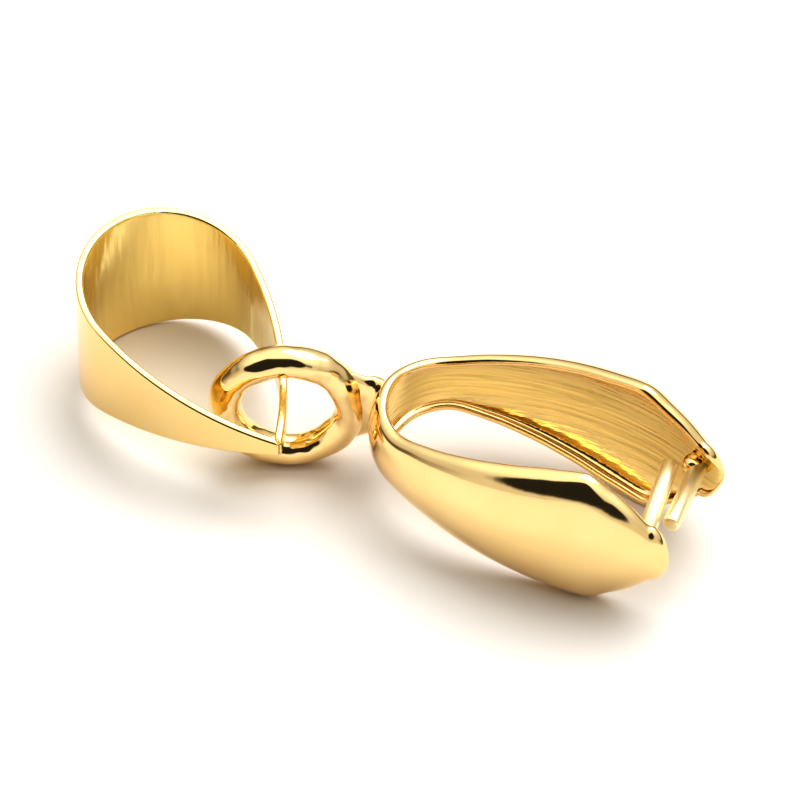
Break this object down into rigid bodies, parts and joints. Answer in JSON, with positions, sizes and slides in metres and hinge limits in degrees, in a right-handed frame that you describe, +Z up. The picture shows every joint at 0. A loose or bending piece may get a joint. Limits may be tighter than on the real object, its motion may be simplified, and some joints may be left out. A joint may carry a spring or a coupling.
{
  "type": "pinch bail finding",
  "caption": "Gold-plated pinch bail: a petal-armed pinch clasp with inner pins and a soldered ring, carrying a tapered band bail for a chain.",
  "frame": {"origin": "under the middle of the finding's box, on the surface that it lies on", "axes": "+X along the clasp's middle from the ring to the tips of its arms, +Z up from the surface, +Y towards the second arm"},
  "size_m": [0.0234, 0.0074, 0.0058],
  "materials": {
    "clasp_gold": "polished pale yellow gold plating on brass",
    "bail_gold": "polished pale yellow gold plating on brass"
  },
  "bodies": {
    "clasp": {"pinch_clasp": "clasp_gold"},
    "bail": {"snap_bail": "bail_gold"}
  },
  "joints": [
    {"name": "bail_swing", "type": "hinge", "parent": "clasp", "child": "bail", "pos_m": [-0.00515, -0.00217, 0.00274], "axis": [0, 0, 1], "range_deg": [-35, 160]}
  ]
}
